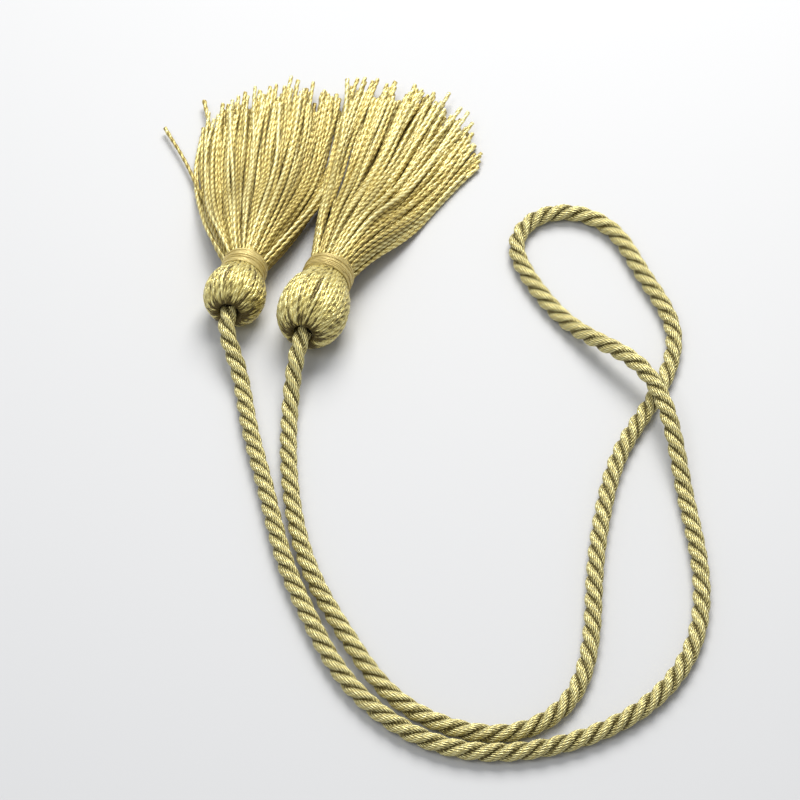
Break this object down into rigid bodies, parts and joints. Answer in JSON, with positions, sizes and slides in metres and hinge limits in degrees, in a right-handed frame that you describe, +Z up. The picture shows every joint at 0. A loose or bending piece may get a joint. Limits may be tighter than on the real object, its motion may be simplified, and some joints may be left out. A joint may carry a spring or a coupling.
{
  "type": "silk tassel pair on a looped cord",
  "caption": "Silk tassels with bulb-shaped heads and wound bindings, joined by a long looped laid cord and lying flat with their skirts fanned out",
  "frame": {"origin": "on the surface the part lies on, under the middle of the box around the tassels and their bindings", "axes": "+Z up from the surface; +Y along the tassels from their heads to their tips, away from the viewer; +X to the viewer's right"},
  "size_m": [0.1176, 0.203, 0.0159],
  "materials": {
    "cord_silk": "lustrous laid silk cord",
    "skirt_silk": "lustrous twisted silk thread",
    "binding_silk": "fine wound silk thread"
  },
  "bodies": {
    "root": {"cord": "cord_silk", "tassel_left": "skirt_silk", "tassel_right": "skirt_silk", "binding_left": "binding_silk", "binding_right": "binding_silk"}
  },
  "joints": []
}
